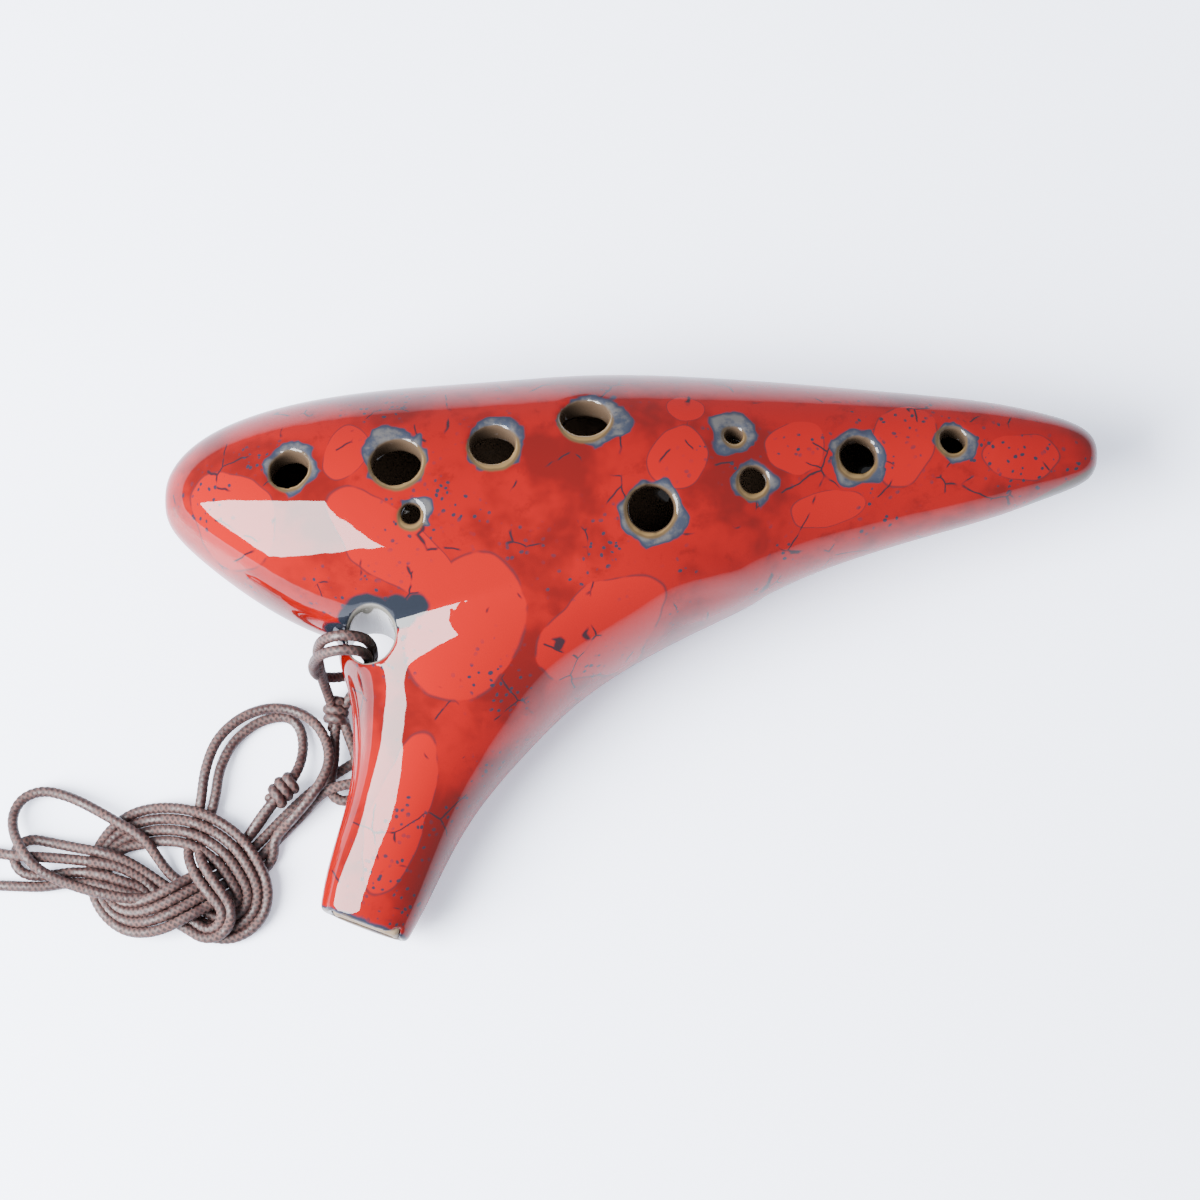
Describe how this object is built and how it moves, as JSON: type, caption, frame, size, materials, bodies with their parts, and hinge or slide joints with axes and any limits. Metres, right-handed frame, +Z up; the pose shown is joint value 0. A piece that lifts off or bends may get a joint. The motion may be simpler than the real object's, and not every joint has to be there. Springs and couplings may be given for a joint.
{
  "type": "ocarina",
  "caption": "Transverse ceramic ocarina with an egg-shaped chamber, flaring mouthpiece, tone holes and a braided neck cord looped through its lanyard hole.",
  "frame": {"origin": "under the middle of the clay body's box, on the surface it lies on", "axes": "+X from the head to the tail, +Y away from the mouthpiece, +Z up out of the finger-hole side"},
  "size_m": [0.2089, 0.103, 0.0441],
  "materials": {
    "glaze": "vermilion glaze with smoky blue-grey and dark red patches, high gloss",
    "clay": "bare fired clay, pale and matt",
    "waxed_cord": "waxed braid, dark brown with a slight sheen"
  },
  "bodies": {
    "root": {"front_shell": "glaze", "back_shell": "glaze", "windway_block": "clay", "hang_loop": "waxed_cord", "hang_loop_knot": "waxed_cord", "hang_loop_tail": "waxed_cord", "neck_cord_hitch": "waxed_cord", "neck_cord_bundle": "waxed_cord", "neck_cord_hank": "waxed_cord", "neck_cord_loop": "waxed_cord", "neck_cord_inner_loop": "waxed_cord", "slide_knot": "waxed_cord"}
  },
  "joints": []
}
